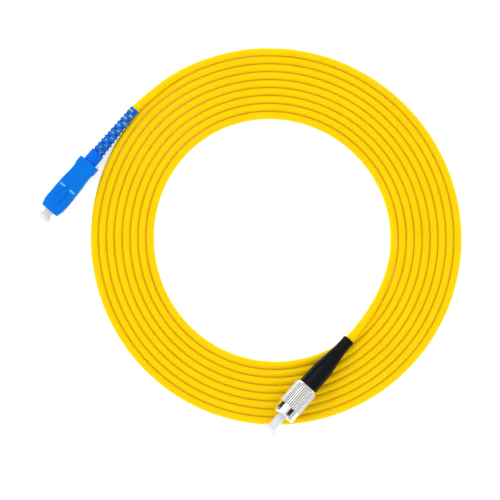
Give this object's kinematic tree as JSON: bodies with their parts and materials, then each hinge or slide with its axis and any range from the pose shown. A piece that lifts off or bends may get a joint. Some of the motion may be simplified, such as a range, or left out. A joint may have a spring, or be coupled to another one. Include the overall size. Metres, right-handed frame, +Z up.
{
  "type": "fiber optic patch cord",
  "caption": "Coiled yellow simplex fiber patch cord with a square blue push-pull plug at one end and a round knurled screw-on plug at the other, both dust-capped.",
  "frame": {"origin": "on the surface the cord lies on, under the middle of the two plugs' box", "axes": "+Z up, square to the flat coil; +X and +Y in the plane of the coil; the SC plug lies at low X and the FC plug at high X and low Y"},
  "size_m": [0.1702, 0.1539, 0.0147],
  "materials": {
    "cable_jacket": "satin yellow PVC cord jacket",
    "sc_housing": "moulded blue thermoplastic, satin",
    "sc_boot": "soft moulded blue elastomer",
    "fc_boot": "soft moulded black elastomer",
    "dust_cap": "milky translucent polyethylene",
    "plug_frame": "moulded white thermoplastic",
    "ferrule": "polished zirconia ceramic",
    "nickel": "nickel-plated brass",
    "rear_body": "turned brass",
    "spring_steel": "drawn spring wire",
    "crimp_sleeve": "plain crimped sleeve",
    "guide_tube": "plain tubing",
    "fiber_buffer": "tight buffer coating",
    "aramid_yarn": "loose yellow yarn"
  },
  "bodies": {
    "cord": {"cable_coil": "cable_jacket", "cable_lead_sc": "cable_jacket", "cable_lead_fc": "cable_jacket", "sc_plug_frame": "plug_frame", "sc_spring": "spring_steel", "sc_rear_body": "rear_body", "sc_aramid_yarn": "aramid_yarn", "sc_crimp_sleeve": "crimp_sleeve", "sc_jacket_end": "cable_jacket", "sc_boot": "sc_boot", "fc_plug_body": "nickel", "fc_spring": "spring_steel", "fc_rear_body": "rear_body", "fc_aramid_yarn": "aramid_yarn", "fc_crimp_sleeve": "crimp_sleeve", "fc_jacket_end": "cable_jacket", "fc_boot": "fc_boot"},
    "sc_housing": {"sc_grip": "sc_housing"},
    "sc_ferrule_set": {"sc_ferrule": "ferrule", "sc_ferrule_flange": "nickel", "sc_guide_tube": "guide_tube", "sc_buffer": "fiber_buffer"},
    "sc_cap": {"sc_dust_cap": "dust_cap"},
    "fc_nut": {"fc_coupling_nut": "nickel"},
    "fc_ferrule_set": {"fc_ferrule": "ferrule", "fc_ferrule_flange": "nickel", "fc_guide_tube": "guide_tube", "fc_buffer": "fiber_buffer"},
    "fc_cap": {"fc_dust_cap": "dust_cap"}
  },
  "joints": [
    {"name": "sc_housing_slide", "type": "slide", "parent": "cord", "child": "sc_housing", "axis": [0.6441, 0.7649, 0], "range_m": [0, 0.002]},
    {"name": "sc_ferrule_float", "type": "slide", "parent": "cord", "child": "sc_ferrule_set", "axis": [0.6441, 0.7649, 0], "range_m": [0, 0.0008], "stiffness_N_per_m": 2500, "springref_m": -0.003, "deforming": ["sc_spring"]},
    {"name": "sc_cap_pull", "type": "slide", "parent": "sc_ferrule_set", "child": "sc_cap", "axis": [-0.6441, -0.7649, 0], "range_m": [0, 0.012]},
    {"name": "fc_nut_turn", "type": "hinge", "parent": "cord", "child": "fc_nut", "pos_m": [0.0348, -0.0575, 0.00987], "axis": [0.6604, 0.7438, -0.1028], "continuous": true},
    {"name": "fc_ferrule_float", "type": "slide", "parent": "cord", "child": "fc_ferrule_set", "axis": [0.6604, 0.7438, -0.1028], "range_m": [0, 0.0008], "stiffness_N_per_m": 2500, "springref_m": -0.003, "deforming": ["fc_spring"]},
    {"name": "fc_cap_pull", "type": "slide", "parent": "fc_ferrule_set", "child": "fc_cap", "axis": [-0.6604, -0.7438, 0.1028], "range_m": [0, 0.015]}
  ]
}
